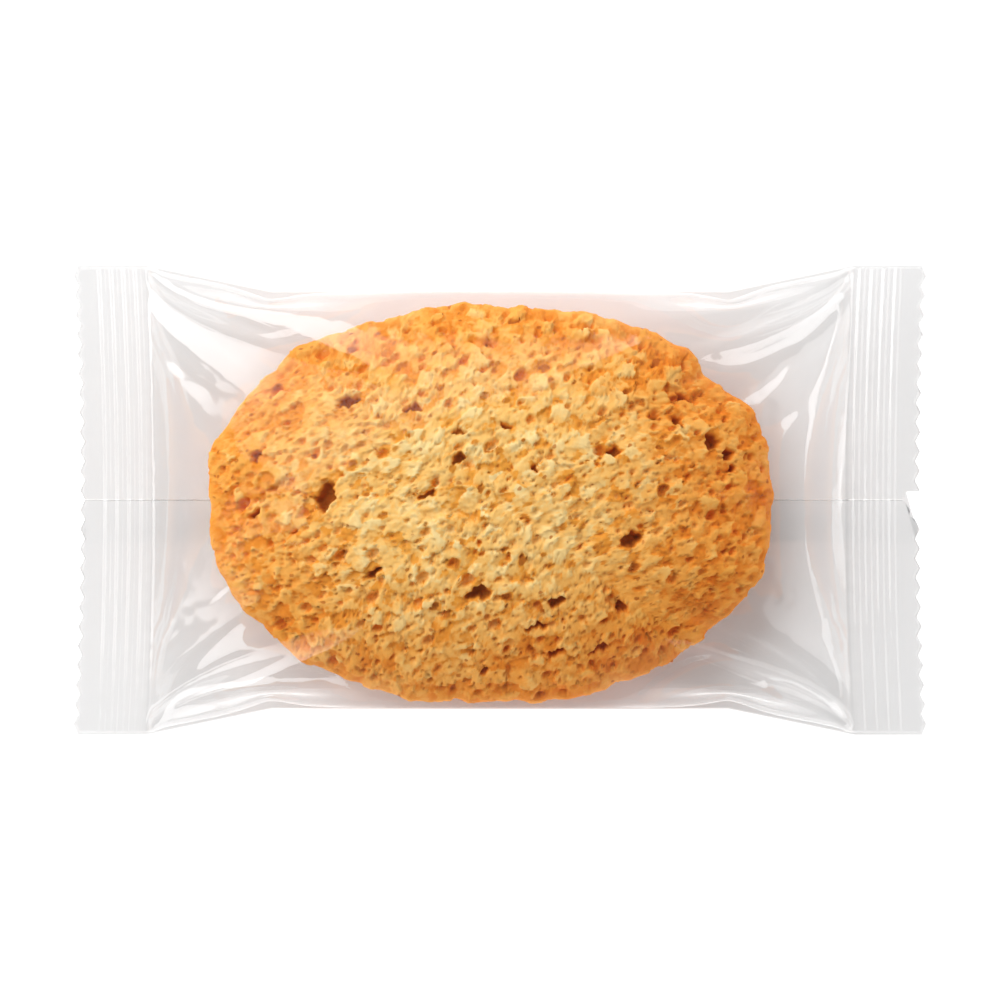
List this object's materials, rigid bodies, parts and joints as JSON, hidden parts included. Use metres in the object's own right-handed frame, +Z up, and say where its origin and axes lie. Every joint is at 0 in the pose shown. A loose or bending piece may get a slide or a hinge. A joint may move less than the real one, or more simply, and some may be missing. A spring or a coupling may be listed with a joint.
{
  "type": "madeleine cake in a clear film pack",
  "caption": "Oval sponge madeleine lying bump side up, sealed in a clear film pillow pack with crimped, pinked ends and a flat back weld.",
  "frame": {"origin": "under the pack's centre, at the bottom of its belly, on the surface it lies on", "axes": "+X along the pack, from the plain end towards the nicked end; +Y across it, away from the back weld's flap; +Z up, through the cake's bump"},
  "size_m": [0.1158, 0.0634, 0.021],
  "materials": {
    "clear_film": "thin clear glossy packaging film, crisp creases, faint grey where two layers lie together",
    "sponge_cake": "dry porous sponge crumb, light gold in the middle and browner towards the rim"
  },
  "bodies": {
    "root": {"sealed_pack": "clear_film"}
  },
  "joints": []
}
